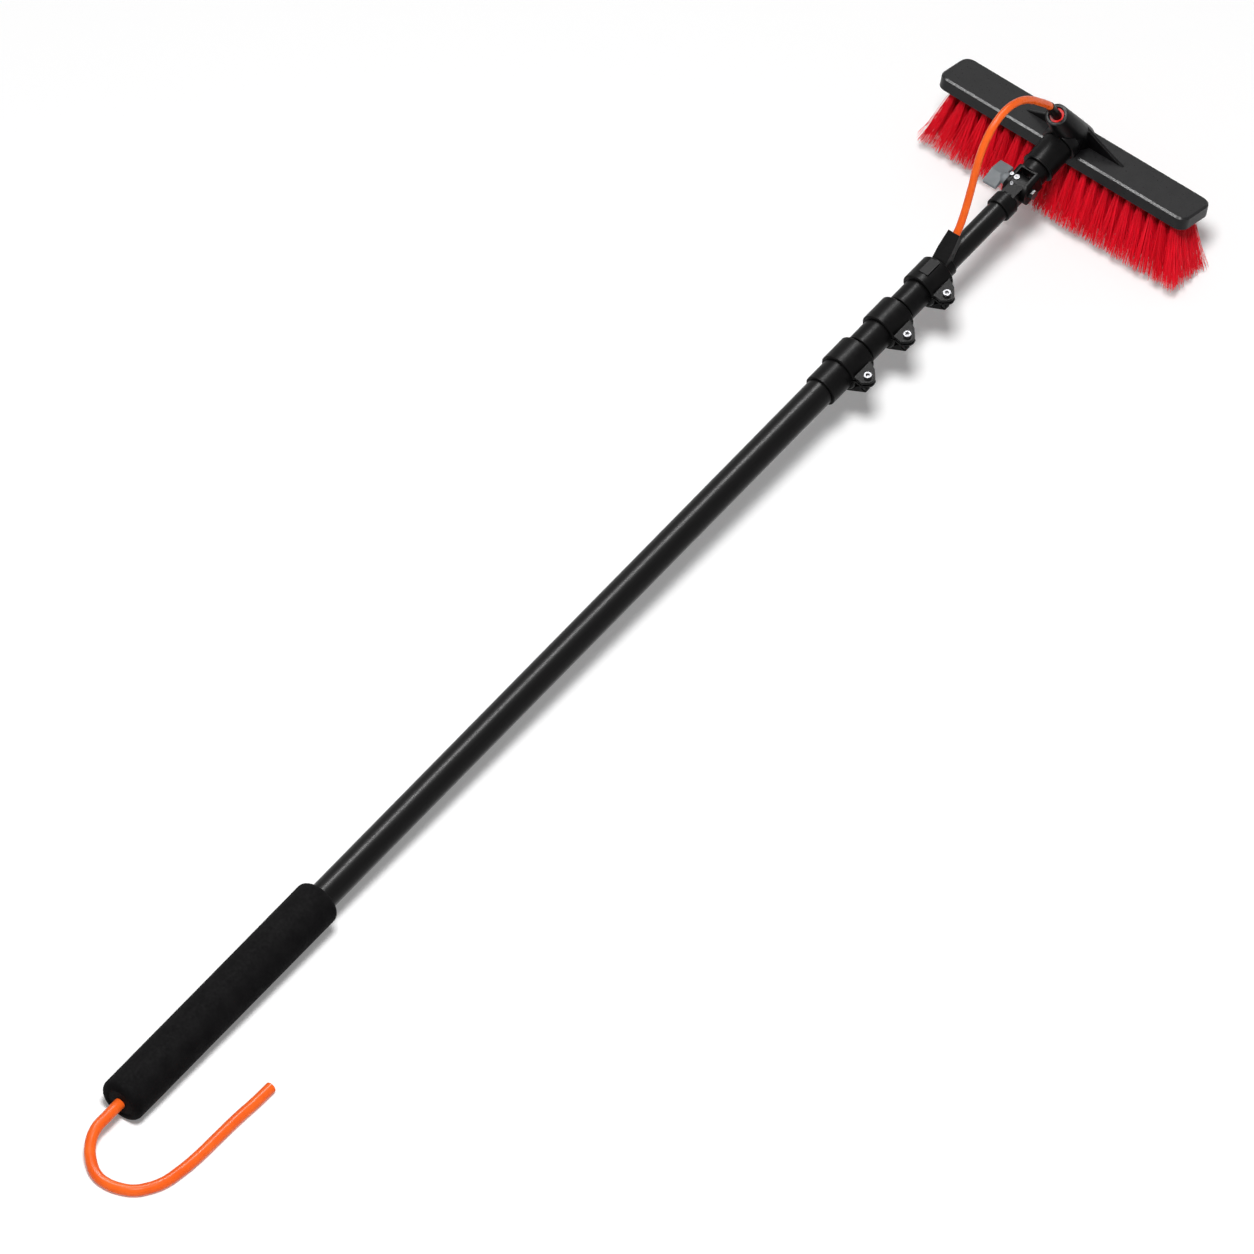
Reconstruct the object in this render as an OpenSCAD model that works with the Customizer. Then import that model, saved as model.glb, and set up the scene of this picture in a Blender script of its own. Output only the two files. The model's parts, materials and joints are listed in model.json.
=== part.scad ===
// Water-fed telescopic wash brush, lying with its grip and bristle tips on the floor.
// Sizes in mm, +Z up, +Y from the grip to the brush. Most pieces are drawn in the pole's own
// frame: z along the pole from the grip's end, x across it, and -y away from the floor.

/* [Grip] */
// Outside diameter of the foam grip
grip_od = 50; // [40:0.5:60]
// Length of the foam grip
grip_len = 320; // [200:5:500]
// Rounding of the grip's two ends
grip_round = 7; // [3:0.5:9]

/* [Tubes] */
// Outside diameter of the outermost tube
tube_od = 30.5; // [29:0.5:34]
// Wall of every tube
tube_wall = 1; // [0.8:0.1:1.1]
// How much thinner each inner tube is than the one around it
tube_step = 2.5; // [2.4:0.1:3]
// How far the outermost tube's end is set back inside the grip
tube_inset = 4; // [3:0.5:10]
// Reach of the innermost tube, from the grip's end
pole_reach = 1427; // [1380:1:1600]
// Gap left between each guide bush and the one below it
tube_stagger = 3; // [1:0.5:8]
// Radial clearance where one part slides in another
slide_clear = 0.25; // [0.2:0.05:0.3]
// Radial clearance of a pin or shaft that turns
run_clear = 0.05; // [0.02:0.01:0.08]
// Radial clearance of a part that is pressed or glued on
seat_clear = 0.02; // [0.01:0.01:0.04]

/* [End plug and bushes] */
// Thickness of the end plug's rim
plug_rim = 3; // [2:0.5:5]
// Length of a plug's spigot inside its tube
spigot_len = 12; // [8:1:20]
// Length of a guide bush's sliding rim
bush_rim = 5; // [3:0.5:8]

/* [Clamps] */
// Distance of the first clamp collar's foot below the innermost tube's end
clamp_back = 302; // [290:0.5:330]
// Distance from one clamp to the next
clamp_pitch = 65.3; // [64:0.1:90]
// Bare length of the collar below its band
collar_len = 28.8; // [20:0.2:35]
// Wall of the collar over its tube
collar_wall = 2.75; // [2:0.25:3]
// Depth to which the collar takes its tube's end
collar_seat = 25; // [15:0.5:27]
// Outside diameter of the first clamp band
band_od = 42.6; // [42:0.2:46]
// How much smaller each further band is
band_step = 1.4; // [0.8:0.1:2]
// Length of a band along the pole
band_len = 32.6; // [30:0.2:36]
// Gap that the clamp closes
band_slit = 2.4; // [1.5:0.1:3]
// Height of that gap above the pole's axis
slit_up = 3; // [2:0.25:4]
// Thickness of the clamp's upper ear
ear_t = 3.2; // [2.6:0.1:4]
// Thickness of the clamp's lower ear
ear_low_t = 2.2; // [1.8:0.1:3]
// Radius of the ears round the bolt
ear_r = 7.5; // [6.5:0.25:8.5]
// Distance of the clamp bolt from the band's outside
bolt_out = 9.4; // [8.6:0.1:10.5]
// Distance of the clamp bolt from the band's lower edge
bolt_up = 10; // [9:0.2:12]
// Diameter of the clamp bolt's shank
bolt_d = 3.4; // [3:0.1:3.6]
// Diameter of the clamp bolt's head
bolt_head_d = 8; // [7:0.5:9]
// Height of the clamp bolt's head
bolt_head_h = 3.4; // [3:0.2:4]
// Raised grip pad on the last band: width
pad_w = 11; // [8:0.5:14]
// Raised grip pad on the last band: length
pad_len = 20; // [14:1:26]
// Raised grip pad on the last band: height
pad_h = 1; // [0.6:0.1:1.6]

/* [Levers] */
// Diameter of the round nut that a lever turns on
nut_d = 5.4; // [5.2:0.1:6]
// Radius of the lever's cam
cam_r = 4.4; // [4.2:0.1:5]
// Offset of the cam from its nut
cam_offset = 0.6; // [0.3:0.1:0.9]
// Thickness of the lever's curved arm
lever_t = 2.6; // [2.2:0.2:3.4]
// Width of the lever along the pole
lever_w = 15; // [14:0.5:18]
// Gap between the lever's arm and the band
lever_gap = 0.5; // [0.4:0.1:1]
// Angle round the pole that the lever's arm ends at
lever_end = 152; // [120:2:160]

/* [Hose boot] */
// Length of the boot along the pole
boot_len = 29; // [26:1:40]
// Width of the boot at its foot
boot_w = 17; // [15:0.5:20]
// Width of the boot at its mouth
boot_tip_w = 13.4; // [12:0.2:15]
// Height of the boot's mouth above the tube's axis
boot_top = 35; // [30:0.5:38]
// Height of the hose's centre at the mouth, above the tube's axis
boot_hose_h = 28; // [24:0.5:30]
// Slope at which the hose leaves the boot, in degrees
boot_rise = 45; // [42:1:48]
// Length of the boot's saddle ring
saddle_len = 12; // [8:1:16]
// Wall of the boot's saddle ring
saddle_wall = 2; // [1.5:0.25:3]

/* [Hoses] */
// Diameter of the hose to the brush
hose_d = 8; // [7:0.5:8.5]
// Diameter of the supply hose
supply_d = 12; // [10:0.5:12.5]
// Bore of the supply hose
supply_bore = 8; // [5:0.5:9]

/* [Tilt joint] */
// Angle at which the head is set up from the pole's line, in degrees
head_up = 5.5; // [0:0.5:10]
// Distance of the tilt axis from the tube's end
tilt_out = 24.5; // [17:0.5:28]
// Radius of the tilt joint's cheeks
cheek_r = 13; // [11:0.5:13.2]
// Outer half-width of the tilt joint
cheek_x = 13.8; // [13:0.1:14.2]
// Radius of the cheeks' corners
cheek_corner = 4.5; // [3:0.5:5]
// Half-width of the tilt joint's tongue
tongue_x = 8; // [7:0.1:8.4]
// Side clearance of the tongue
tongue_clear = 0.2; // [0.1:0.05:0.3]
// Diameter of the tilt bolt
tilt_bolt_d = 6; // [5:0.5:7]
// Outside diameter of the adapter collar on the tube
adapter_od = 28; // [27:0.2:29]
// Length of the adapter collar
adapter_len = 15; // [12:0.5:20]
// Span of the wing knob
wing_span = 30; // [26:1:36]
// Width of the wing knob's wings across the pole
wing_w = 11.5; // [9:0.5:13]
// Thickness of the wings
wing_t = 4.2; // [3:0.2:5]
// Lift of the wings' fold
wing_fold = 4; // [2:0.5:6]

/* [Brush socket] */
// Outside diameter of the collar above the tilt joint
mid_od = 29; // [27:0.5:31]
// Length of that collar
mid_len = 12; // [8:0.5:14]
// Outside diameter of the coupling sleeve
sleeve_od = 34; // [32:0.5:36]
// Length of the coupling sleeve
sleeve_len = 34; // [28:0.5:38]
// Diameter of the spigot inside the sleeve
spigot_d = 23; // [20:0.5:25]
// Outside diameter of the socket's rim
socket_od = 39; // [37:0.5:42]
// Length of the socket's rim
socket_len = 11; // [8:0.5:14]

/* [Brush block] */
// Length of the block across the pole
block_len = 315; // [240:1:360]
// Width of the block
block_w = 50; // [46:0.5:60]
// Thickness of the block
block_t = 15; // [14:0.5:20]
// Bevel of the block's top edges
block_bevel = 1.6; // [1:0.1:2.5]
// Radius of the block's corners
block_corner = 7; // [4:0.5:10]
// Depth of the pocket for the bristle base
pocket = 4; // [3:0.5:6]
// Lean of the block towards the floor's far side, in degrees
block_lean = 16; // [10:0.5:22]
// Distance of the block's centre from the tilt axis
block_out = 87.5; // [86:0.5:92]
// Depth of the block's top below the sleeve's axis
block_drop = 18.5; // [17.5:0.25:20]

/* [Water port] */
// Length of the port boss, from the block's top
port_len = 72.5; // [60:0.5:76]
// Outside diameter at the port's mouth
port_od = 24; // [22:0.5:26]
// Diameter of the port's foot on the block
port_foot = 39; // [30:0.5:44]
// Bore of the port
port_bore = 16; // [14:0.5:17]
// Depth of the port's bore
port_depth = 30; // [20:1:34]
// Lean of the port back towards the grip, in degrees
port_lean = 17.6; // [14:0.2:22]
// Depth of the red ring below the mouth
ring_recess = 3; // [2:0.5:5]
// Length of the red ring
ring_len = 10; // [6:1:14]
// Outside diameter of the hose barb
barb_od = 10; // [9.6:0.1:11]
// Height of the barb above the mouth
barb_out = 25; // [16:1:28]
// Depth to which the hose goes into the barb
barb_hold = 8; // [5:1:12]
// Reach of a side rib from the port's axis
rib_reach = 62; // [50:1:80]
// Height of a side rib where it meets the port
rib_h = 20.5; // [14:0.5:24]
// Distance of that place from the port's axis
rib_in = 9; // [6:0.5:12]
// Thickness of a side rib
rib_t = 4; // [3:0.5:6]

/* [Bristles] */
// Tufts along the block
tufts = 21; // [15:1:22]
// Rows of tufts across the block
rows = 5; // [4:1:5]
// Free length of the bristles
bristle_len = 72; // [50:1:80]
// Length of the bristle field at its roots
field_len = 302; // [200:1:310]
// Width of the bristle field at its roots
field_w = 41; // [36:0.5:43]
// Spread of the end bristles at their tips
spread_x = 21; // [10:1:26]
// Spread of the outer rows at their tips
spread_y = 17; // [8:1:22]
// Side of a bristle strand at its root
strand = 2; // [1.6:0.1:2.2]

/* [Hidden] */
$fn = 64;

black = "#161618";
plastic = "#222224";
steel = "#C9CCD0";
orange = "#FF5A1C";
red = "#D0141E";

grip_r = grip_od / 2;
function tube_r(k) = (tube_od - tube_step * (k - 1)) / 2;
function bore_r(k) = tube_r(k) - tube_wall;
function clamp_z(k) = pole_reach - clamp_back + clamp_pitch * (k - 1);
function collar_r(k) = tube_r(k) + collar_wall;
function band_z(k) = clamp_z(k) + collar_len;
function band_r(k) = (band_od - band_step * (k - 1)) / 2;
function bolt_x(k) = band_r(k) + bolt_out;
function bolt_z(k) = band_z(k) + bolt_up;
function tube_low(k) = tube_inset + (k - 1) * (spigot_len + bush_rim + tube_stagger);
function tube_high(k) = k == 4 ? pole_reach : clamp_z(k) + collar_seat;

ear_top = slit_up + band_slit / 2 + ear_t;
ear_under = ear_low_t + band_slit / 2 - slit_up;
cam_tip = 30;
nut_y = ear_under + cam_r + cam_offset * cos(cam_tip) + 0.1;
bolt_room = 0.35;
tilt_z = pole_reach + tilt_out;

block_half = block_w / 2;
tip_half = field_w / 2 + spread_y;
tip_depth = block_t + bristle_len;

// The pole slopes so that the grip's end and the far bristle tips both touch the floor.
rest_a = tilt_z + block_out * cos(head_up) + block_drop * sin(head_up) - grip_round;
rest_b = block_out * sin(head_up) - block_drop * cos(head_up) + grip_r - grip_round;
rest_c = tip_half * sin(block_lean) + tip_depth * cos(block_lean) - grip_round;
pole_slope = asin(rest_c / sqrt(rest_a * rest_a + rest_b * rest_b)) - atan2(rest_b, rest_a);
pole_z = grip_round + (grip_r - grip_round) * cos(pole_slope) - grip_round * sin(pole_slope);
far_edge = max(block_half * cos(block_lean) - block_bevel * sin(block_lean),
    (block_half - block_bevel) * cos(block_lean));
back_y = grip_round * (cos(pole_slope) - 1) - (grip_r - grip_round) * sin(pole_slope);
head_slope = pole_slope + head_up;
front_y = tilt_z * cos(pole_slope) + block_out * cos(head_slope)
    + block_drop * sin(head_slope) + far_edge;
pole_y = -(back_y + front_y) / 2;

// Places along the head's own axis are measured from the tilt axis.
mid_z = cheek_r + 2.5;
sleeve_z = mid_z + mid_len;
socket_z = sleeve_z + sleeve_len;
boot_z = clamp_z(3) + collar_len + band_len + 0.6;
mouth_z = boot_z + boot_len;
screw_r = 3;
small_screw_r = 2;
screw_h = 2;

// Frames -------------------------------------------------------------------------------
module in_pole() {
    translate([0, pole_y, pole_z]) rotate([pole_slope - 90, 0, 0]) children();
}

// The head's frame starts at the tilt axis and has +z up the sleeve.
module in_head() {
    in_pole() translate([0, 0, tilt_z]) rotate([head_up, 0, 0]) children();
}

module in_block() {
    in_head() translate([0, block_drop, block_out])
        rotate([90 - head_slope - block_lean, 0, 0]) children();
}

// The port's frame has +z up the boss, from the centre of the block's top.
module in_port() {
    in_head() translate([0, block_drop, block_out]) rotate([90 + port_lean, 0, 0]) children();
}

// Shared shapes ------------------------------------------------------------------------
module ring(inner, outer, h, bevel) {
    rotate_extrude()
        polygon([[inner, 0], [outer - bevel, 0], [outer, bevel], [outer, h - bevel],
            [outer - bevel, h], [inner, h]]);
}

module across(length) {
    rotate([0, 90, 0]) translate([0, 0, -length / 2]) children();
}

// A tube swept along points: each ring is square to the way that the route runs there.
function unit(v) = v / norm(v);
function mean_way(p, i) = unit(i == 0 ? p[1] - p[0]
    : i == len(p) - 1 ? p[i] - p[i - 1]
    : unit(p[i + 1] - p[i]) + unit(p[i] - p[i - 1]));
function side_way(way) = unit(cross(way, abs(way[0]) < 0.9 ? [1, 0, 0] : [0, 0, 1]));
function next_side(old, way) = unit(old - way * (old * way));
function sides(p, first) = [for (i = 0, s = next_side(first, mean_way(p, 0)); i < len(p);
    i = i + 1, s = i < len(p) ? next_side(s, mean_way(p, i)) : s) s];
function hose_ring(p, i, side, r, n) = let(way = mean_way(p, i), up = cross(way, side))
    [for (j = [0:n - 1]) p[i] + r * (side * cos(360 * j / n) + up * sin(360 * j / n))];

module hose(p, r, n, first) {
    s = sides(p, first);
    rings = [for (i = [0:len(p) - 1]) each hose_ring(p, i, s[i], r, n)];
    last = (len(p) - 1) * n;
    skin = [for (i = [0:len(p) - 2], j = [0:n - 1]) let(a = i * n + j, b = i * n + (j + 1) % n)
        each [[a, a + n, b + n], [a, b + n, b]]];
    caps = [for (j = [1:n - 2]) each [[0, j, j + 1], [last, last + j + 1, last + j]]];
    polyhedron(rings, concat(skin, caps), convexity = 4);
}

module hollow_hose(p, r, bore, n, first) {
    s = sides(p, first);
    m = len(p) * n;
    outer = [for (i = [0:len(p) - 1]) each hose_ring(p, i, s[i], r, n)];
    inner = [for (i = [0:len(p) - 1]) each hose_ring(p, i, s[i], bore, n)];
    last = (len(p) - 1) * n;
    walls = [for (i = [0:len(p) - 2], j = [0:n - 1]) let(a = i * n + j, b = i * n + (j + 1) % n)
        each [[a, a + n, b + n], [a, b + n, b],
            [m + a, m + b + n, m + a + n], [m + a, m + b, m + b + n]]];
    ends = [for (j = [0:n - 1]) let(k = (j + 1) % n)
        each [[j, k, m + k], [j, m + k, m + j],
            [last + j, last + m + k, last + k], [last + j, last + m + j, last + m + k]]];
    polyhedron(concat(outer, inner), concat(walls, ends), convexity = 6);
}

// Grip and tubes -----------------------------------------------------------------------
module foam_grip() {
    color(black) in_pole() rotate_extrude() difference() {
        union() {
            translate([0, grip_round]) square([grip_r, grip_len - 2 * grip_round]);
            square([grip_r - grip_round, grip_len]);
            for (z = [grip_round, grip_len - grip_round])
                translate([grip_r - grip_round, z]) circle(grip_round);
        }
        translate([-grip_r, -1]) square([grip_r + tube_r(1) + seat_clear, grip_len + 2]);
    }
}

module end_plug() {
    color(black) in_pole() difference() {
        union() {
            translate([0, 0, tube_inset - plug_rim]) cylinder(r = tube_r(1), h = plug_rim);
            translate([0, 0, tube_inset])
                cylinder(r = bore_r(1) - seat_clear, h = spigot_len);
        }
        translate([0, 0, tube_inset - plug_rim - 1])
            cylinder(r = supply_d / 2 + seat_clear, h = plug_rim + spigot_len + 2);
    }
}

module tube(k) {
    color(black) in_pole() translate([0, 0, tube_low(k)]) difference() {
        cylinder(r = tube_r(k), h = tube_high(k) - tube_low(k));
        translate([0, 0, -1]) cylinder(r = bore_r(k), h = tube_high(k) - tube_low(k) + 2);
        if (k == 4) translate([0, 0, -tube_low(k)]) hose_slot();
    }
}

// The slot in the innermost tube's top through which its hose comes out.
module hose_slot() {
    slot = hose_d + 1;
    translate([-slot / 2, -tube_r(4) - 1, boot_z + 2]) cube([slot, tube_r(4), 21]);
}

module guide_bush(k) {
    color(plastic) in_pole() translate([0, 0, tube_low(k) - bush_rim]) difference() {
        union() {
            ring(hose_d / 2, bore_r(k - 1) - run_clear, bush_rim, 0.5);
            cylinder(r = bore_r(k) - seat_clear, h = bush_rim + spigot_len);
        }
        translate([0, 0, -1])
            cylinder(r = hose_d / 2 + slide_clear, h = bush_rim + spigot_len + 2);
    }
}

// Clamps -------------------------------------------------------------------------------
module collar(k) {
    h = collar_len + band_len;
    color(plastic) in_pole() translate([0, 0, clamp_z(k)]) difference() {
        ring(tube_r(k) - tube_wall, collar_r(k), h, 0.7);
        translate([0, 0, -1]) cylinder(r = tube_r(k) + seat_clear, h = collar_seat + 1);
        cylinder(r = tube_r(k + 1) + slide_clear, h = h + 1);
        translate([0, -slit_up - band_slit / 2, collar_len + 2])
            cube([band_r(k), band_slit, h]);
    }
}

// Outline of a clamp ear, x outwards and y along the pole from the band's lower edge.
module ear_outline(k) {
    r = band_r(k);
    hull() {
        translate([r - 7, 2]) square([1, band_len - 4]);
        translate([r + bolt_out, bolt_up]) circle(ear_r, $fn = 48);
        translate([r + bolt_out - 1.8, bolt_up + 9.4]) circle(2.8, $fn = 32);
        translate([r + bolt_out - 1, 2.6]) circle(2.4, $fn = 32);
    }
}

module clamp_band(k) {
    r = band_r(k);
    color(plastic) in_pole() translate([0, 0, band_z(k)]) difference() {
        union() {
            ring(collar_r(k) - 1, r, band_len, 1.2);
            translate([0, ear_under, 0]) rotate([90, 0, 0])
                linear_extrude(ear_top + ear_under) ear_outline(k);
            if (k == 3) band_pad(r);
        }
        translate([0, 0, -20]) cylinder(r = collar_r(k) + seat_clear, h = band_len + 40);
        translate([0, -slit_up - band_slit / 2, -20])
            cube([2 * r + ear_r, band_slit, band_len + 40]);
        translate([bolt_x(k), 0, bolt_up]) rotate([90, 0, 0])
            cylinder(d = bolt_d + 2 * slide_clear, h = 40, center = true);
    }
}

// A raised pad between two grooves, on the top of the last band.
module band_pad(r) {
    translate([-pad_w / 2, -r - pad_h, (band_len - pad_len) / 2 + 3])
        cube([pad_w, 4, pad_len]);
}

module clamp_bolt(k) {
    end = nut_y + 1.8;
    color(steel) in_pole() translate([bolt_x(k), 0, bolt_z(k)]) difference() {
        union() {
            translate([0, -ear_top, 0]) rotate([90, 0, 0])
                cylinder(d = bolt_head_d, h = bolt_head_h);
            translate([0, end, 0]) rotate([90, 0, 0])
                cylinder(d = bolt_d, h = end + ear_top + 1);
        }
        translate([0, -ear_top - 1, 0]) rotate([90, 0, 0])
            cylinder(d = 4.6, h = bolt_head_h, $fn = 6);
    }
}

module barrel_nut(k) {
    color(steel) in_pole() translate([bolt_x(k), nut_y, bolt_z(k)]) difference() {
        cylinder(d = nut_d, h = lever_w - 2, center = true);
        rotate([90, 0, 0]) cylinder(d = bolt_d + 2 * seat_clear, h = 2 * nut_d, center = true);
    }
}

// The lever wraps the band's underside. Its cam presses the ears together.
module cam_lever(k) {
    arm_r = band_r(k) + lever_gap;
    mid = arm_r + lever_t / 2;
    x = bolt_x(k);
    color(plastic) in_pole() translate([0, 0, bolt_z(k) - lever_w / 2]) difference() {
        linear_extrude(lever_w) difference() {
            union() {
                hull() {
                    translate([x - cam_offset * sin(cam_tip), nut_y - cam_offset * cos(cam_tip)])
                        circle(cam_r, $fn = 64);
                    rotate(58) translate([mid, 0]) circle(lever_t / 2, $fn = 32);
                }
                intersection() {
                    difference() {
                        circle(arm_r + lever_t);
                        circle(arm_r);
                    }
                    polygon([[0, 0], 3 * mid * [cos(56), sin(56)],
                        3 * mid * [cos(104), sin(104)],
                        3 * mid * [cos(lever_end), sin(lever_end)]]);
                }
                rotate(lever_end) translate([mid, 0]) circle(lever_t / 2);
            }
            circle(arm_r);
        }
        translate([x, nut_y, -1]) cylinder(d = nut_d + 2 * run_clear, h = lever_w + 2);
        translate([x - nut_d / 2, nut_y - 12, lever_w / 2 - bolt_d / 2 - bolt_room])
            cube([20, 12 + nut_d, bolt_d + 2 * bolt_room]);
    }
}

// Hose boot and hoses ------------------------------------------------------------------
module hose_boot() {
    foot = tube_r(4) + seat_clear;
    color(plastic) in_pole() translate([0, 0, boot_z]) difference() {
        union() {
            ring(foot - 1, foot + saddle_wall, saddle_len, 0.5);
            intersection() {
                rotate([90, 0, 0]) linear_extrude(60)
                    polygon([[-boot_w / 2, 0], [boot_w / 2, 0], [boot_w / 2, saddle_len],
                        [boot_tip_w / 2, boot_len], [-boot_tip_w / 2, boot_len],
                        [-boot_w / 2, saddle_len]]);
                boot_side();
            }
        }
        translate([0, 0, -1]) cylinder(r = foot, h = boot_len + 20);
        translate([0, -boot_hose_h, boot_len]) rotate([boot_rise, 0, 0])
            translate([0, 0, -60]) cylinder(r = hose_d / 2 + seat_clear, h = 80);
        translate([-hose_d / 2 - 0.5, -17, 4]) cube([hose_d + 1, 17, 15]);
        translate([-boot_w, -18.4, 15]) rotate([-54, 0, 0]) cube([2 * boot_w, 4, 0.8]);
    }
}

// Side view of the boot: a foot on the tube and a neck that lifts off it.
module boot_side() {
    rise = boot_hose_h - hose_d / 2 - 2;
    rotate([0, -90, 0]) translate([0, 0, -boot_w]) linear_extrude(2 * boot_w)
        polygon([[0, 0], [0, -14], [3, -16.5], [boot_len - 2.5, -boot_top],
            [boot_len + 1, -rise - 1], [boot_len - 1, -rise + 1],
            [saddle_len + 3, -tube_r(4)], [saddle_len, 0]]);
}

// The hose's centre line from the pole's middle into the boot, as [up, along from its foot].
inner_route = [[0, -700], [0, -300], [0, -60], [1.2, -36], [2.4, -18], [3.2, -6.4],
    [4.2, -0.9], [6.1, 4.3], [8.9, 9.2]];

// The boot's mouth, and a point along its bore, as [up, along].
function boot_bore(d) = [boot_hose_h, mouth_z] + d * [sin(boot_rise), cos(boot_rise)];
hose_joint = -3;

module inner_hose() {
    points = concat([[0, tube_inset + spigot_len]],
        [for (p = inner_route) [p[0], boot_z + p[1]]],
        [boot_bore(-22), boot_bore(hose_joint)]);
    color(orange) in_pole()
        hose([for (p = points) [0, -p[0], p[1]]], hose_d / 2, 10, [1, 0, 0]);
}

// The hose's free arch from the boot to the barb, as [up, along from the boot's mouth].
arch_route = [[44, 12.3], [58, 19.5], [76, 27.5], [96, 35.5], [115, 44.5], [130, 56],
    [140, 71], [143, 86.5], [139, 102], [130, 116], [118, 128], [104, 139], [90, 149.5]];

// Where the hose's end lies in the barb, measured up the port's axis.
hose_end = port_len + barb_out - barb_hold;
function head_point(up, out) = [up * cos(head_up) + out * sin(head_up),
    tilt_z + out * cos(head_up) - up * sin(head_up)];
function port_axis(h) = head_point(h * cos(port_lean) - block_drop,
    block_out - h * sin(port_lean));

module brush_hose() {
    points = concat([boot_bore(hose_joint), boot_bore(8)],
        [for (p = arch_route) [p[0], mouth_z + p[1]]],
        [port_axis(hose_end + barb_hold + 4), port_axis(hose_end + 0.05)]);
    color(orange) in_pole() hose([for (p = points) [0, -p[0], p[1]]], hose_d / 2, 10, [1, 0, 0]);
}

// The supply hose's centre line from the plug, beside the grip's end and on the floor.
supply_route = [[0, -20, -1], [0, -38, -4], [6, -54, -10], [17, -66, -15], [30, -74, -18],
    [44, -76, -18.5], [59, -73, -18.5], [72, -66, -18.5], [81, -55, -18.5], [88, -41, -18.5],
    [92, -20, -18.5], [94, 5, -18.5], [94, 38, -18.5], [94, 71, -18.5], [95, 97, -18.5],
    [95, 122, -18.5]];

module supply_hose() {
    far = tube_inset + spigot_len;
    inside = [[0, cos(pole_slope), sin(pole_slope)] * far,
        [0, cos(pole_slope), sin(pole_slope)] * (tube_inset - plug_rim)];
    floor_lift = supply_d / 2 - pole_z + 18.5 + 0.02;
    laid = [for (p = supply_route) [p[0], p[1], p[2] < -18 ? p[2] + floor_lift : p[2]]];
    color(orange) translate([0, pole_y, pole_z])
        hollow_hose(concat(inside, laid), supply_d / 2, supply_bore / 2, 12, [1, 0, 0]);
}

// Tilt joint ---------------------------------------------------------------------------
module screw_seat(r) {
    translate([0, 0, -0.9]) cylinder(r = r + seat_clear, h = 6);
    translate([0, 0, -5]) cylinder(r = r / 2, h = 6);
}

module tongue_screw_places() {
    for (a = [[-4.6, 0, screw_r], [-5.2, 36, small_screw_r]])
        translate([a[0], 0, tilt_z]) rotate([90 + a[1], 0, 0])
            translate([0, 0, cheek_r - 0.5]) children(a[2] == screw_r ? 0 : 1);
}

module tilt_tongue() {
    collar_z = pole_reach + 2 - adapter_len;
    color(black) in_pole() difference() {
        union() {
            translate([0, 0, collar_z]) ring(5, adapter_od / 2, adapter_len, 0.8);
            translate([0, 0, collar_z]) cylinder(r = tube_r(4), h = adapter_len + 2.4);
            translate([-tongue_x, -cheek_r + 2.5, pole_reach])
                cube([2 * tongue_x, 2 * cheek_r - 5, tilt_out]);
            translate([0, 0, tilt_z]) across(2 * tongue_x)
                cylinder(r = cheek_r - 0.5, h = 2 * tongue_x);
        }
        translate([0, 0, collar_z - 1])
            cylinder(r = tube_r(4) + seat_clear, h = adapter_len - 1);
        translate([0, 0, tilt_z]) across(60)
            cylinder(r = tilt_bolt_d / 2 + run_clear, h = 60);
        tongue_screw_places() {
            screw_seat(screw_r);
            screw_seat(small_screw_r);
        }
    }
}

module screw(r) {
    difference() {
        union() {
            translate([0, 0, -0.9]) cylinder(r = r, h = screw_h);
            translate([0, 0, -4.8]) cylinder(r = r / 2 - seat_clear, h = 4.5);
        }
        translate([0, 0, screw_h - 1.6]) cylinder(r = r / 2, h = 2, $fn = 6);
    }
}

module tongue_screws() {
    color(steel) in_pole() tongue_screw_places() {
        screw(screw_r);
        screw(small_screw_r);
    }
}

module cheek_screw_place() {
    translate([-(cheek_x + tongue_x) / 2, -cheek_r, 1.6]) rotate([90, 0, 0]) children();
}

module tilt_fork() {
    gap = tongue_x + tongue_clear;
    c = cheek_corner;
    color(black) in_head() difference() {
        union() {
            intersection() {
                union() {
                    across(2 * cheek_x) cylinder(r = cheek_r, h = 2 * cheek_x);
                    translate([-cheek_x, -cheek_r, 0])
                        cube([2 * cheek_x, 2 * cheek_r, mid_z + 1]);
                }
                translate([0, 0, -20]) linear_extrude(mid_z + 30) offset(c)
                    square([2 * (cheek_x - c), 2 * (cheek_r - c)], center = true);
            }
            translate([0, 0, mid_z]) ring(0, mid_od / 2, mid_len, 0.8);
            translate([0, 0, mid_z]) cylinder(d = spigot_d, h = mid_len + sleeve_len - 4);
        }
        translate([-gap, -cheek_r - 5, -20])
            cube([2 * gap, 2 * cheek_r + 10, cheek_r + 21.2]);
        across(60) cylinder(r = tilt_bolt_d / 2 + seat_clear, h = 60);
        cheek_screw_place() screw_seat(small_screw_r);
    }
}

module cheek_screw() {
    color(steel) in_head() cheek_screw_place() screw(small_screw_r);
}

washer_t = 1.5;
knob_x = cheek_x + washer_t + 0.1;
knob_len = 10.5;
module tilt_bolt() {
    color(steel) in_head() {
        translate([-knob_x - knob_len - wing_w + 3, 0, 0]) rotate([0, 90, 0])
            cylinder(d = tilt_bolt_d, h = knob_x + knob_len + wing_w - 3 + cheek_x);
        translate([cheek_x, 0, 0]) rotate([0, 90, 0]) cylinder(r = 5.5, h = 4, $fn = 6);
    }
}

module knob_washer() {
    color(steel) in_head() translate([-cheek_x - washer_t, 0, 0]) rotate([0, 90, 0])
        ring(tilt_bolt_d / 2 + seat_clear, 7, washer_t, 0.3);
}

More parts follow.
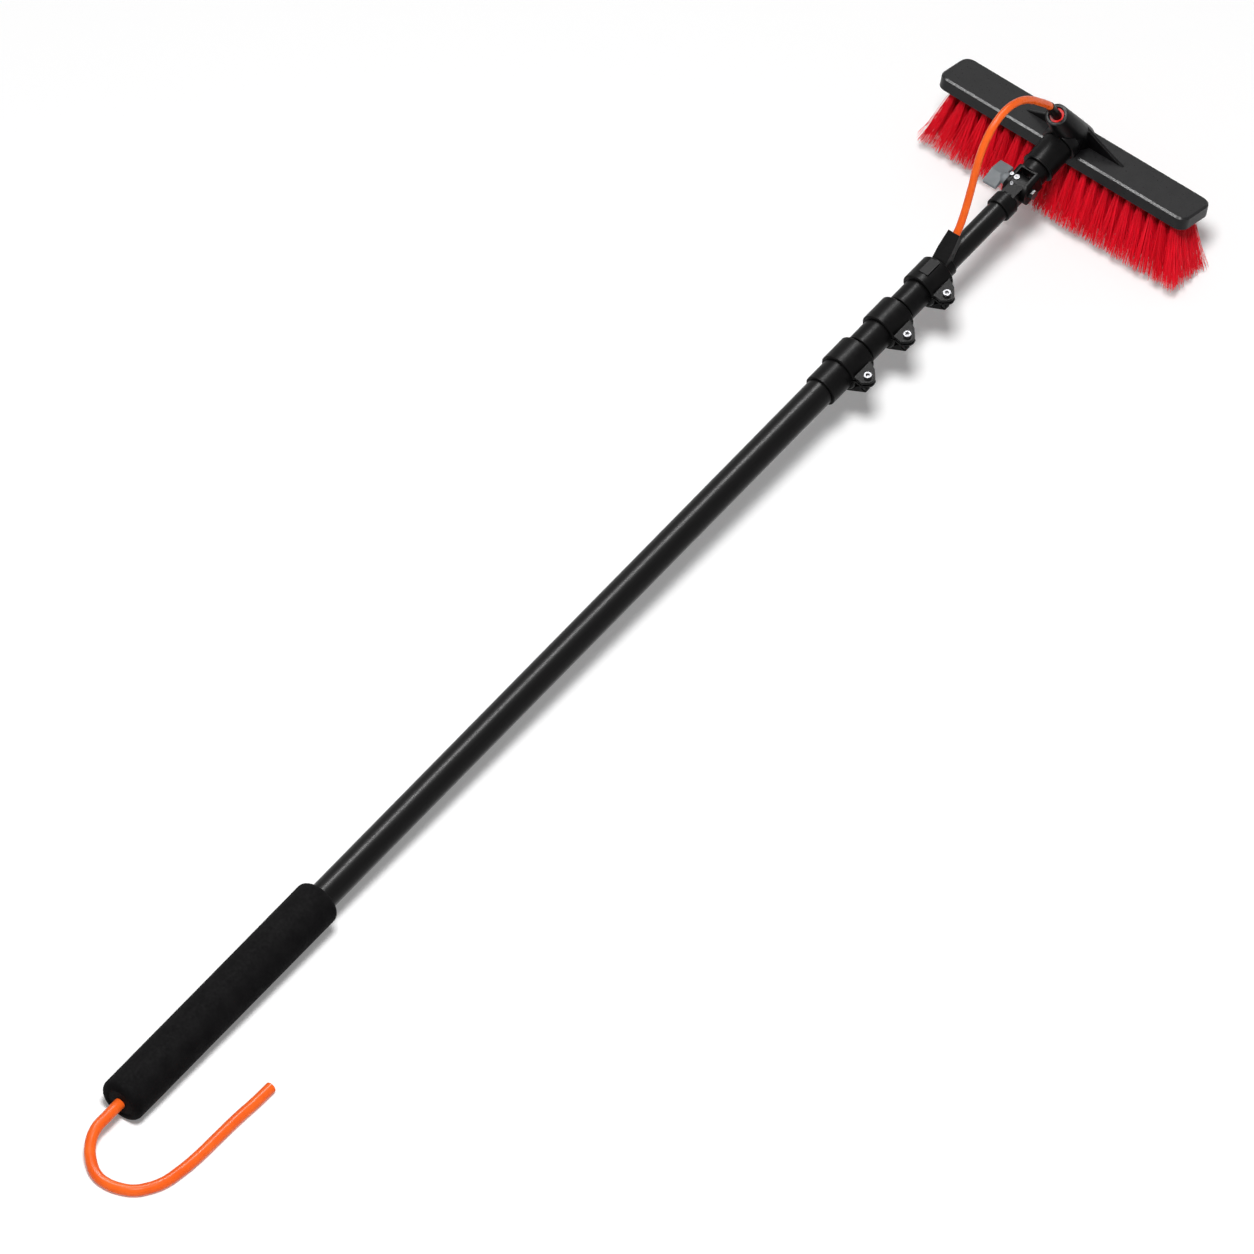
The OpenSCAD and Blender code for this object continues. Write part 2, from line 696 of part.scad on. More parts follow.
module wing_knob() {
    half = wing_span / 2;
    far = knob_x + knob_len + wing_w;
    color("#7C8186") in_head() difference() {
        union() {
            translate([-far + wing_w / 2, 0, 0]) rotate([0, 90, 0])
                cylinder(r = 6.5, h = far - wing_w / 2 - knob_x);
            translate([-far, 0, 0]) rotate([90, 0, 90]) linear_extrude(wing_w)
                polygon([[-wing_fold, 0], [0, -half], [wing_t, -half], [wing_t - 1, 0],
                    [wing_t, half], [0, half]]);
            translate([-far, 0, 0]) rotate([0, 90, 0]) cylinder(r = 5.4, h = wing_w);
        }
        translate([-far + 2, 0, 0]) rotate([0, 90, 0])
            cylinder(r = tilt_bolt_d / 2 + run_clear, h = 60);
    }
}

module coupling_sleeve() {
    color(black) in_head() translate([0, 0, sleeve_z]) {
        difference() {
            union() {
                ring(spigot_d / 2 + seat_clear, sleeve_od / 2, sleeve_len, 0.8);
                ring(spigot_d / 2 + seat_clear, sleeve_od / 2 + 0.9, 3, 0.5);
            }
            translate([0, 0, -1]) cylinder(r = spigot_d / 2 + seat_clear, h = sleeve_len + 2);
        }
    }
}

// Brush --------------------------------------------------------------------------------
module block_outline() {
    l = block_len / 2;
    w = block_half;
    c = block_corner;
    square([block_len, block_w - 2 * c], center = true);
    square([block_len - 2 * c, block_w], center = true);
    for (x = [c - l, l - c], y = [c - w, w - c]) translate([x, y]) circle(c);
}

// Cross profile of the block: flat base and bevelled top edges.
module bevelled_profile(w) {
    b = block_bevel;
    polygon([[-w, -block_t], [w, -block_t], [w, -b], [w - b, 0], [b - w, 0], [-w, -b]]);
}

module block_body() {
    intersection() {
        translate([0, 0, -block_t]) linear_extrude(block_t) block_outline();
        rotate([90, 0, 90]) translate([0, 0, -block_len])
            linear_extrude(2 * block_len) bevelled_profile(block_half);
        rotate([90, 0, 0]) translate([0, 0, -block_w])
            linear_extrude(2 * block_w) bevelled_profile(block_len / 2);
    }
}

// The ribs stand in the block's middle plane and run down from the port to the block's top.
module ribs() {
    rotate([90, 0, 0]) translate([0, 0, -rib_t / 2]) linear_extrude(rib_t)
        polygon([[-rib_reach, -1], [-rib_reach, 0], [-rib_in, rib_h], [rib_in, rib_h],
            [rib_reach, 0], [rib_reach, -1]]);
}

module brush_block() {
    color(plastic) difference() {
        union() {
            in_block() {
                block_body();
                ribs();
            }
            in_port() translate([0, 0, -6])
                cylinder(h = port_len + 6, d1 = port_foot, d2 = port_od);
            in_head() translate([0, 0, socket_z]) {
                ring(0, socket_od / 2, socket_len, 1);
                cylinder(r = socket_od / 2 - 2.5, h = block_out - socket_z - 4);
            }
        }
        in_port() translate([0, 0, port_len - port_depth])
            cylinder(d = port_bore, h = port_depth + 1);
        in_head() translate([0, 0, socket_z - 20])
            cylinder(d = sleeve_od + 2 * slide_clear, h = 20);
        in_block() translate([-field_len / 2 - 2, -field_w / 2 - 1, -block_t - 40])
            cube([field_len + 4, field_w + 2, 40 + pocket]);
    }
}

module port_ring() {
    color(red) in_port() translate([0, 0, port_len - ring_recess - ring_len]) difference() {
        cylinder(d = port_bore - 2 * seat_clear, h = ring_len);
        translate([0, 0, -1]) cylinder(d = barb_od + 2 * seat_clear, h = ring_len + 2);
    }
}

module hose_barb() {
    foot = port_len - port_depth;
    color(black) in_port() translate([0, 0, foot]) difference() {
        union() {
            cylinder(d = port_bore - 2 * seat_clear, h = port_depth - ring_recess - ring_len);
            cylinder(d = barb_od, h = port_depth + barb_out);
        }
        translate([0, 0, -1]) cylinder(d = hose_d - 3, h = port_depth + barb_out);
        translate([0, 0, port_depth + barb_out - barb_hold])
            cylinder(d = hose_d + 2 * seat_clear, h = barb_hold + 1);
    }
}

// Bristles: one closed skin. The base's under face is a grid of cells, and each cell's
// square hole runs down into one strand with a smaller square tip.
nx = 2 * tufts;
ny = 2 * rows;
cell_x = field_len / nx;
cell_y = field_w / ny;
function pair(i) = i % 2 == 0 ? 1 : -1;
function root(i, j) = [(i + 0.5) * cell_x - field_len / 2 + 0.22 * cell_x * pair(i),
    (j + 0.5) * cell_y - field_w / 2 + 0.12 * cell_y * pair(j)];
function tip(i, j) = let(r = root(i, j), u = 2 * r[0] / field_len, v = 2 * r[1] / field_w)
    [r[0] + spread_x * u * u * u - 0.26 * cell_x * pair(i),
     r[1] + spread_y * v - 0.1 * cell_y * pair(j)];
function trim(i, j) = 1.6 * sin(137 * i + 59 * j * j);
corners = [[-1, -1], [1, -1], [1, 1], [-1, 1]];
function grid_id(i, j) = i * (ny + 1) + j;
grid_count = (nx + 1) * (ny + 1);
function strand_id(i, j) = grid_count + 8 * (i * ny + j);
top_id = grid_count + 8 * nx * ny;

module bristles() {
    low = -block_t;
    grid = [for (i = [0:nx], j = [0:ny])
        [i * cell_x - field_len / 2, j * cell_y - field_w / 2, low]];
    strands = [for (i = [0:nx - 1], j = [0:ny - 1]) let(r = root(i, j), t = tip(i, j))
        each concat(
            [for (c = corners) [r[0] + c[0] * strand / 2, r[1] + c[1] * strand / 2, low]],
            [for (c = corners) [t[0] + c[0] * strand / 4, t[1] + c[1] * strand / 4,
                j == ny - 1 ? -tip_depth : -tip_depth + 1.6 + trim(i, j)]])];
    top = [for (c = corners)
        [c[0] * field_len / 2, c[1] * field_w / 2, low + pocket]];
    cell_faces = [for (i = [0:nx - 1], j = [0:ny - 1])
        let(g = [grid_id(i, j), grid_id(i + 1, j), grid_id(i + 1, j + 1), grid_id(i, j + 1)],
            s = strand_id(i, j))
        each [for (k = [0:3]) let(m = (k + 1) % 4)
            each [[g[k], g[m], s + m], [g[k], s + m, s + k],
                [s + k, s + m, s + 4 + m], [s + k, s + 4 + m, s + 4 + k]]]];
    tip_faces = [for (i = [0:nx - 1], j = [0:ny - 1]) let(s = strand_id(i, j) + 4)
        each [[s, s + 1, s + 2], [s, s + 2, s + 3]]];
    side_faces = concat(
        [for (i = [0:nx - 1]) each [[top_id, grid_id(i + 1, 0), grid_id(i, 0)],
            [top_id + 3, grid_id(i, ny), grid_id(i + 1, ny)]]],
        [for (j = [0:ny - 1]) each [[top_id, grid_id(0, j), grid_id(0, j + 1)],
            [top_id + 1, grid_id(nx, j + 1), grid_id(nx, j)]]],
        [[top_id, top_id + 1, grid_id(nx, 0)], [top_id + 3, grid_id(nx, ny), top_id + 2],
            [top_id, grid_id(0, ny), top_id + 3], [top_id + 1, top_id + 2, grid_id(nx, ny)],
            [top_id, top_id + 3, top_id + 2], [top_id, top_id + 2, top_id + 1]]);
    color(red) in_block()
        polyhedron(concat(grid, strands, top), concat(cell_faces, tip_faces, side_faces),
            convexity = 10);
}

foam_grip();
end_plug();
supply_hose();
tube(1);  // tube_1
tube(2);  // tube_2
tube(3);  // tube_3
tube(4);  // tube_4
guide_bush(2);  // guide_bush_2
guide_bush(3);  // guide_bush_3
guide_bush(4);  // guide_bush_4
collar(1);  // collar_1
collar(2);  // collar_2
collar(3);  // collar_3
clamp_band(1);  // clamp_band_1
clamp_band(2);  // clamp_band_2
clamp_band(3);  // clamp_band_3
clamp_bolt(1);  // clamp_bolt_1
clamp_bolt(2);  // clamp_bolt_2
clamp_bolt(3);  // clamp_bolt_3
barrel_nut(1);  // barrel_nut_1
barrel_nut(2);  // barrel_nut_2
barrel_nut(3);  // barrel_nut_3
cam_lever(1);  // cam_lever_1
cam_lever(2);  // cam_lever_2
cam_lever(3);  // cam_lever_3
hose_boot();
inner_hose();
brush_hose();
tilt_tongue();
tongue_screws();
tilt_fork();
cheek_screw();
tilt_bolt();
knob_washer();
wing_knob();
coupling_sleeve();
brush_block();
port_ring();
hose_barb();
bristles();
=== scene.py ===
import json
import math
import random

import bmesh
import bpy
import numpy as np
from mathutils import Matrix, Vector, noise
from mathutils.geometry import interpolate_bezier


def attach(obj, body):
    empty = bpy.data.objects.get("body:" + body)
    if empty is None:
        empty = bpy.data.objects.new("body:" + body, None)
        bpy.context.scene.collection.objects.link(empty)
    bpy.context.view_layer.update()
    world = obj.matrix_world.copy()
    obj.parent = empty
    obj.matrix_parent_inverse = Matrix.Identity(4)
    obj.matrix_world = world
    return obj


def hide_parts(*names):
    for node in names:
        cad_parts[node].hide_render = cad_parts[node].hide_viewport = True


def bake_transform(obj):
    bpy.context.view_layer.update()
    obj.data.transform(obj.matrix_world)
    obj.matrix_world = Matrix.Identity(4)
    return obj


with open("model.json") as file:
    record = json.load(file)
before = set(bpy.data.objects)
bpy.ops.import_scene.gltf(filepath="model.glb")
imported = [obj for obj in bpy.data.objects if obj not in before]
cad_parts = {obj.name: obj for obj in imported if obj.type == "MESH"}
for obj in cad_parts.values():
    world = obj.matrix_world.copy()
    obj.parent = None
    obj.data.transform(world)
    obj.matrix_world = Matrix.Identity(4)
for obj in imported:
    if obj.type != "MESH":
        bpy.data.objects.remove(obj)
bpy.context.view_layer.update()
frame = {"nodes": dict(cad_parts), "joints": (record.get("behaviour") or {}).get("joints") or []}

mm = 0.001

# Camera ------------------------------------------------------------------------------
# A long lens looks down on the brush from the grip's right side, so that the pole runs
# from the lower left to the upper right.
back = Vector((0.4009, -0.5058, 0.7638)).normalized()
aim = Vector((0.0317, -0.0091, 0.0658))
view_width = 1.254
view = bpy.data.cameras.new("view")
view.lens = 1500
view.sensor_width = 36
view.clip_end = 200
camera = bpy.data.objects.new("view", view)
camera.location = aim + back * view.lens / view.sensor_width * view_width
camera.rotation_euler = back.to_track_quat("Z", "Y").to_euler()
bpy.context.scene.collection.objects.link(camera)
bpy.context.scene.camera = camera

# Supply hose --------------------------------------------------------------------------
# Orange vinyl hose, 12 mm across with an 8 mm bore. It leaves the plug in the grip's end,
# turns back in a wide U on the floor and ends in a bare square cut.
joints = {joint["name"]: joint for joint in frame["joints"]}
pole_way = Vector(joints["slide_2"]["axis"]).normalized()
tilt_centre = Vector(joints["head_tilt"]["pos_m"])
pole_slope = math.atan2(pole_way.z, pole_way.y)
tilt_along = 1451.5 * mm
grip_end = tilt_centre - pole_way * tilt_along
pole_frame = (Matrix.Translation(grip_end)
              @ Matrix.Rotation(pole_slope - math.pi / 2, 4, "X"))


class Wire:
    """One output in a material. Adding to it or multiplying it adds a Math node."""

    def __init__(self, finish, socket):
        self.finish = finish
        self.socket = socket

    def maths(self, operation, *values):
        return self.finish.node("ShaderNodeMath", {"operation": operation},
                                dict(enumerate(values)))

    def __add__(self, other): return self.maths("ADD", self, other)
    def __radd__(self, other): return self.maths("ADD", other, self)
    def __mul__(self, other): return self.maths("MULTIPLY", self, other)
    def __rmul__(self, other): return self.maths("MULTIPLY", other, self)


class Finish:
    """A procedural material around one Principled shader."""

    def __init__(self, name, **constants):
        self.material = bpy.data.materials.new(name)
        self.material.use_nodes = True
        self.tree = self.material.node_tree
        self.shader = self.tree.nodes["Principled BSDF"]
        for name, value in constants.items():
            self.shader.inputs[name.replace("_", " ")].default_value = value

    def node(self, kind, settings=None, sockets=None, out=0):
        made = self.tree.nodes.new(kind)
        for name, value in (settings or {}).items():
            setattr(made, name, value)
        for name, value in (sockets or {}).items():
            if isinstance(value, Wire):
                self.tree.links.new(value.socket, made.inputs[name])
            else:
                made.inputs[name].default_value = value
        return Wire(self, made.outputs[out])

    def place(self):
        return self.node("ShaderNodeTexCoord", out="Object")

    def noise(self, scale, detail=3, rough=0.5, stretch=None):
        at = self.place()
        if stretch:
            at = self.node("ShaderNodeMapping", None, {
                "Vector": at, "Rotation": (pole_slope, 0, 0), "Scale": stretch})
        return self.node("ShaderNodeTexNoise", None, {
            "Vector": at, "Scale": scale, "Detail": detail, "Roughness": rough})

    def blend(self, factor, first, second):
        colour = [value if isinstance(value, Wire) else (*value, 1)
                  for value in (first, second)]
        return self.node("ShaderNodeMix", {"data_type": "RGBA"},
                         {0: factor, 6: colour[0], 7: colour[1]}, out=2)

    def ramp(self, value, low, high, bottom, top):
        return self.node("ShaderNodeMapRange", None, {
            "Value": value, "From Min": low, "From Max": high, "To Min": bottom,
            "To Max": top})

    def set(self, name, wire):
        self.tree.links.new(wire.socket, self.shader.inputs[name])

    def relief(self, height, distance, strength=1.0, rounding=None):
        sockets = {"Height": height, "Distance": distance, "Strength": strength}
        if rounding:
            sockets["Normal"] = self.node("ShaderNodeBevel", {"samples": 6},
                                          {"Radius": rounding})
        self.set("Normal", self.node("ShaderNodeBump", None, sockets))


def dress(finish, *pieces):
    for piece in pieces:
        target = frame["nodes"][piece] if isinstance(piece, str) else piece
        if target.material_slots:
            for slot in target.material_slots:
                slot.material = finish.material
        else:
            target.data.materials.append(finish.material)


def vinyl():
    finish = Finish("orange_vinyl", Specular_IOR_Level=0.13)
    cloud = finish.noise(38, 3)
    finish.set("Base Color", finish.blend(finish.ramp(cloud, 0.35, 0.65, 0, 1),
                                          (0.900, 0.112, 0.010), (0.960, 0.148, 0.016)))
    finish.set("Roughness", finish.ramp(finish.noise(420, 2), 0.3, 0.7, 0.24, 0.36))
    finish.relief(finish.noise(900, 2), 0.05 * mm, 0.25)
    return finish


def smooth_line(points, steps=8):
    """A curve through the points, as a close run of points."""
    curve = bpy.data.curves.new("line", "CURVE")
    spline = curve.splines.new("BEZIER")
    spline.bezier_points.add(len(points) - 1)
    for knot, point in zip(spline.bezier_points, points):
        knot.co = point
        knot.handle_left_type = knot.handle_right_type = "AUTO"
    holder = bpy.data.objects.new("line", curve)
    bpy.context.scene.collection.objects.link(holder)
    bpy.context.view_layer.update()
    knots = list(spline.bezier_points)
    line = [Vector(knots[0].co)]
    for first, second in zip(knots, knots[1:]):
        line += interpolate_bezier(first.co, first.handle_right, second.handle_left,
                                   second.co, steps + 1)[1:]
    bpy.data.objects.remove(holder)
    return line


def round_curve(radius, resolution):
    """An empty curve whose strokes become tubes of that radius."""
    curve = bpy.data.curves.new("line", "CURVE")
    curve.dimensions = "3D"
    curve.bevel_depth = radius
    curve.bevel_resolution = resolution
    return curve


def stroke(curve, line, widths):
    """Adds one stroke through the points, with its share of the radius at each."""
    spline = curve.splines.new("POLY")
    spline.points.add(len(line) - 1)
    for knot, point, width in zip(spline.points, line, widths):
        knot.co = (*point, 1)
        knot.radius = width


def mesh_of(curve):
    """The mesh of a curve's tubes."""
    holder = bpy.data.objects.new("line", curve)
    bpy.context.scene.collection.objects.link(holder)
    mesh = bpy.data.meshes.new_from_object(
        holder.evaluated_get(bpy.context.evaluated_depsgraph_get()))
    bpy.data.objects.remove(holder)
    return mesh


def swept(line, radius):
    """A closed round tube along a line of points."""
    curve = round_curve(radius, 5)
    stroke(curve, line, [1] * len(line))
    shape = bmesh.new()
    shape.from_mesh(mesh_of(curve))
    bmesh.ops.remove_doubles(shape, verts=shape.verts, dist=1e-6)
    bmesh.ops.holes_fill(shape, edges=[e for e in shape.edges if e.is_boundary])
    bmesh.ops.recalc_face_normals(shape, faces=shape.faces)
    return shape


def piece_from(name, shape, finish, angle=40):
    """A finished piece at the origin, shaded smooth up to an angle."""
    mesh = bpy.data.meshes.new(name)
    shape.to_mesh(mesh)
    shape.free()
    piece = bpy.data.objects.new(name, mesh)
    bpy.context.scene.collection.objects.link(piece)
    mesh.shade_smooth()
    mesh.set_sharp_from_angle(angle=math.radians(angle))
    dress(finish, piece)
    return piece


def hollow_end(shape, line, depth, wall):
    """Opens the tube's far cap into a bore of that depth."""
    way = (line[-1] - line[-2]).normalized()
    cap = min((f for f in shape.faces if len(f.verts) > 8),
              key=lambda f: (f.calc_center_median() - line[-1]).length)
    bmesh.ops.inset_region(shape, faces=[cap], thickness=wall, use_even_offset=True)
    bored = bmesh.ops.extrude_discrete_faces(shape, faces=[cap])["faces"]
    bmesh.ops.translate(shape, verts=bored[0].verts, vec=-way * depth)
    bmesh.ops.recalc_face_normals(shape, faces=shape.faces)


supply_d = 12 * mm
plug_face = 1 * mm
supply_route = [
    (0, -20, -1), (0, -38, -4), (6, -54, -10), (17, -66, -15), (30, -74, -18),
    (44, -76, -18.5), (59, -73, -18.5), (72, -66, -18.5), (81, -55, -18.5),
    (88, -41, -18.5), (92, -20, -18.5), (94, 5, -18.5), (94, 38, -18.5),
    (94, 71, -18.5), (95, 97, -18.5), (95, 122, -18.5)]
floor_height = supply_d / 2 + 0.02 * mm
supply_points = [grip_end + pole_way * plug_face]
for x, y, z in supply_route:
    height = floor_height if z < -18 else grip_end.z + z * mm
    supply_points.append(Vector((x * mm, grip_end.y + y * mm, height)))
supply_line = smooth_line(supply_points)

orange = vinyl()
shape = swept(supply_line, supply_d / 2)
hollow_end(shape, supply_line, 14 * mm, 2 * mm)
supply_hose = piece_from("supply_hose_run", shape, orange)
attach(supply_hose, "section_1")
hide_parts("supply_hose")

# Brush hose ---------------------------------------------------------------------------
# The thinner orange hose to the brush, 8 mm across. It comes up through the pole, out of
# the boot and over in one free arch into the barb.
hose_d = 8 * mm
pole_reach, clamp_back, clamp_pitch = 1427 * mm, 302 * mm, 65.3 * mm
collar_len, band_len, boot_gap, boot_len = 28.8 * mm, 32.6 * mm, 0.6 * mm, 29 * mm
boot_mouth = (pole_reach - clamp_back + 2 * clamp_pitch + collar_len + band_len + boot_gap
              + boot_len)
boot_up = 28 * mm
boot_rise = math.radians(45)
head_up = math.radians(5.5)
block_out = 87.5 * mm
block_drop = 18.5 * mm
port_lean = math.radians(17.6)
port_len = 72.5 * mm
hose_end = port_len + 17 * mm
head_frame = (pole_frame @ Matrix.Translation((0, 0, tilt_along))
              @ Matrix.Rotation(head_up, 4, "X"))
port_frame = (head_frame @ Matrix.Translation((0, block_drop, block_out))
              @ Matrix.Rotation(math.pi / 2 + port_lean, 4, "X"))
arch_route = [
    (44, 12.3), (58, 19.5), (76, 27.5), (96, 35.5), (115, 44.5), (130, 56), (140, 71),
    (143, 86.5), (139, 102), (130, 116), (118, 128), (104, 139), (90, 149.5)]


def from_boot(distance):
    return pole_frame @ Vector((0, -boot_up - distance * math.sin(boot_rise),
                                boot_mouth + distance * math.cos(boot_rise)))


arch_points = [from_boot(-3 * mm), from_boot(8 * mm)]
arch_points += [pole_frame @ Vector((0, -up * mm, boot_mouth + out * mm))
                for up, out in arch_route]
arch_points += [port_frame @ Vector((0, 0, hose_end + 12 * mm)),
                port_frame @ Vector((0, 0, hose_end))]
arch_line = smooth_line(arch_points)
shape = swept(arch_line, hose_d / 2)
brush_hose = piece_from("brush_hose_run", shape, orange)
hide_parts("brush_hose")
from_boot(10 * mm)
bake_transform(brush_hose)
dress(orange, "inner_hose")

# Foam grip ----------------------------------------------------------------------------
# A sleeve of closed-cell foam, pushed over the outermost tube. Its skin is matte with
# fine pores, and both ends are rounded over.
grip_r = 25 * mm
grip_len = 320 * mm
grip_round = 7 * mm
tube_r = 15.25 * mm


def turned(profile, steps, ring=False):
    """A solid turned about z from (radius, along) points. A ring's profile closes."""
    shape = bmesh.new()
    outline = [shape.verts.new((radius, 0, along)) for radius, along in profile]
    pairs = zip(outline, outline[1:] + (outline[:1] if ring else []))
    edges = [shape.edges.new(pair) for pair in pairs]
    bmesh.ops.spin(shape, geom=outline + edges, cent=(0, 0, 0), axis=(0, 0, 1),
                   angle=math.tau, steps=steps, use_merge=True)
    bmesh.ops.remove_doubles(shape, verts=shape.verts, dist=1e-6)
    bmesh.ops.recalc_face_normals(shape, faces=shape.faces)
    return shape


def put(shape, place):
    """Moves a shape from its own frame into the world."""
    bmesh.ops.transform(shape, matrix=place, verts=shape.verts)
    return shape


quarter = [math.radians(a) for a in range(0, 91, 10)]
seat_r, rim_r, rim_in = tube_r + 0.02 * mm, tube_r + 1.2 * mm, 0.6 * mm
profile = [(seat_r, rim_in), (rim_r, 0)]
profile += [(grip_r - grip_round * (1 - math.sin(a)), grip_round * (1 - math.cos(a)))
            for a in quarter]
profile += [(grip_r, along * mm) for along in range(12, 312, 6)]
profile += [(grip_r - grip_round * (1 - math.cos(a)),
             grip_len - grip_round * (1 - math.sin(a))) for a in quarter]
profile += [(rim_r, grip_len), (seat_r, grip_len - rim_in)]
shape = turned(profile, 96, ring=True)
swell = 0.12 * mm
for vert in shape.verts:
    if math.hypot(vert.co.x, vert.co.y) > tube_r + 1 * mm:
        wave = noise.noise(vert.co * 45) * swell
        vert.co.xy *= 1 + (wave - swell) / grip_r
put(shape, pole_frame)

foam = Finish("foam_skin", Specular_IOR_Level=0.04)
pores = foam.node("ShaderNodeTexVoronoi", {"feature": "F1"},
                  {"Vector": foam.place(), "Scale": 1500})
foam.set("Base Color", foam.blend(foam.ramp(foam.noise(60, 4), 0.35, 0.7, 0, 1),
                                  (0.0028, 0.0026, 0.0029), (0.0058, 0.0055, 0.0058)))
foam.set("Roughness", foam.ramp(foam.noise(300, 3), 0.3, 0.7, 0.72, 0.9))
foam.relief(pores + foam.noise(2600, 3) * 0.8, 0.12 * mm, 0.55)
grip = piece_from("grip_sleeve", shape, foam)
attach(grip, "section_1")
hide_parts("foam_grip")

# Tubes --------------------------------------------------------------------------------
# Four drawn aluminium tubes, gloss black outside. Their gloss is a little uneven along
# the length, as drawn and sprayed tube is.
gloss = Finish("tube_gloss", Specular_IOR_Level=0.10)
drawn = gloss.noise(26, 4, stretch=(30, 1, 30))
gloss.set("Base Color", gloss.blend(gloss.ramp(drawn, 0.3, 0.7, 0, 1),
                                    (0.0010, 0.0009, 0.0010), (0.0024, 0.0022, 0.0023)))
gloss.set("Roughness", gloss.ramp(drawn, 0.3, 0.7, 0.31, 0.35))
gloss.relief(drawn, 0.01 * mm, 0.06)
dress(gloss, "tube_1", "tube_2", "tube_3", "tube_4")

# Mouldings ----------------------------------------------------------------------------
# Collars, clamp bands, levers, bushes, boot and tilt joint are glass-filled nylon with a
# fine satin grain and edges that are slightly rounded by the mould.


def moulding(name, dark, light, rough, grain=1.0, rounding=0.45 * mm, shine=0.06):
    finish = Finish(name, Specular_IOR_Level=shine)
    speckle = finish.noise(1800, 3, 0.6)
    finish.set("Base Color", finish.blend(finish.ramp(finish.noise(90, 4), 0.35, 0.7, 0, 1),
                                          dark, light))
    finish.set("Roughness", finish.ramp(finish.noise(500, 3), 0.3, 0.7, rough - 0.05,
                                        rough + 0.07))
    finish.relief(speckle, 0.05 * mm * grain, 0.5, rounding)
    return finish


satin = moulding("satin_nylon", (0.0016, 0.0015, 0.0016), (0.0036, 0.0034, 0.0035), 0.36)
for k in (1, 2, 3):
    dress(satin, f"collar_{k}", f"clamp_band_{k}", f"cam_lever_{k}", f"guide_bush_{k + 1}")
dress(satin, "hose_boot", "tilt_tongue", "tilt_fork", "coupling_sleeve", "hose_barb")

rubber = moulding("plug_rubber", (0.0022, 0.0021, 0.0022), (0.0040, 0.0038, 0.0040), 0.7)
dress(rubber, "end_plug")
blackened = moulding("blackened_steel", (0.010, 0.010, 0.011), (0.020, 0.020, 0.021), 0.38,
                     shine=0.4)
dress(blackened, "barrel_nut_1", "barrel_nut_2", "barrel_nut_3")

# Bright fixings -----------------------------------------------------------------------
# Socket-head bolts, screws and the knob's washer are bright zinc on steel, with faint
# turning marks. The tilt bolt is blackened like the barrel nuts.
steel = Finish("bright_steel", Metallic=1.0)
turning = steel.noise(1400, 3, 0.6)
steel.set("Base Color", steel.blend(steel.ramp(turning, 0.35, 0.65, 0, 1),
                                    (0.085, 0.085, 0.090), (0.150, 0.150, 0.155)))
steel.set("Roughness", steel.ramp(turning, 0.3, 0.7, 0.4, 0.52))
steel.relief(turning, 0.02 * mm, 0.3, 0.3 * mm)
dress(steel, "clamp_bolt_1", "clamp_bolt_2", "clamp_bolt_3", "tongue_screws",
      "cheek_screw", "knob_washer")
dress(blackened, "tilt_bolt")

# Brush block --------------------------------------------------------------------------
# A charcoal polypropylene moulding: a long block with chamfered top edges and rounded
# corners, and on it the black port boss, its two ribs and the socket for the pole.
block_lean = math.radians(16)
head_slope = pole_slope + head_up
block_frame = (head_frame @ Matrix.Translation((0, block_drop, block_out))
               @ Matrix.Rotation(math.pi / 2 - head_slope - block_lean, 4, "X"))
block_len, block_w, block_t = 315 * mm, 50 * mm, 15 * mm
corner, chamfer, lip, pocket = 11 * mm, 1.9 * mm, 0.8 * mm, 4 * mm
field_len, field_w = 302 * mm, 41 * mm
socket_z = 61.5 * mm
charcoal = moulding("charcoal_block", (0.0038, 0.0036, 0.0041), (0.0072, 0.0069, 0.0075),
                    0.32, 1.2, 0.35 * mm, 0.2)
ebony = moulding("ebony_block", (0.0014, 0.0013, 0.0015), (0.0030, 0.0029, 0.0031),
                 0.34, 1.0, 0.6 * mm, 0.09)


def rounded_ring(shape, length, width, radius, height, steps=10):
    """One ring of vertices on a rectangle with round corners."""
    ring = []
    for number, (x, y) in enumerate([(1, 1), (-1, 1), (-1, -1), (1, -1)]):
        for step in range(steps + 1):
            turn = math.pi / 2 * (number + step / steps)
            ring.append(shape.verts.new((
                x * (length / 2 - radius) + radius * math.cos(turn),
                y * (width / 2 - radius) + radius * math.sin(turn), height)))
    return ring


def stacked(shape, rings):
    """Joins rings of equal count into a closed skin, from the first to the last."""
    for low, high in zip(rings, rings[1:]):
        for k in range(len(low)):
            m = (k + 1) % len(low)
            shape.faces.new((low[k], low[m], high[m], high[k]))
    shape.faces.new(rings[0][::-1])
    shape.faces.new(rings[-1])


def extruded(outlines, edge):
    """A closed solid between two equal outlines, its sharp edges rounded over."""
    shape = bmesh.new()
    stacked(shape, [[shape.verts.new(point) for point in outline] for outline in outlines])
    bmesh.ops.recalc_face_normals(shape, faces=shape.faces)
    rims = [e for e in shape.edges if e.calc_face_angle(0) > math.radians(60)]
    bmesh.ops.bevel(shape, geom=rims, offset=edge, offset_type="OFFSET", segments=2,
                    profile=0.5, affect="EDGES", clamp_overlap=True)
    return shape


def on_block(name, shape, place, finish, angle=32):
    piece = piece_from(name, put(shape, place), finish, angle)
    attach(piece, "head")
    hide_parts("brush_block")


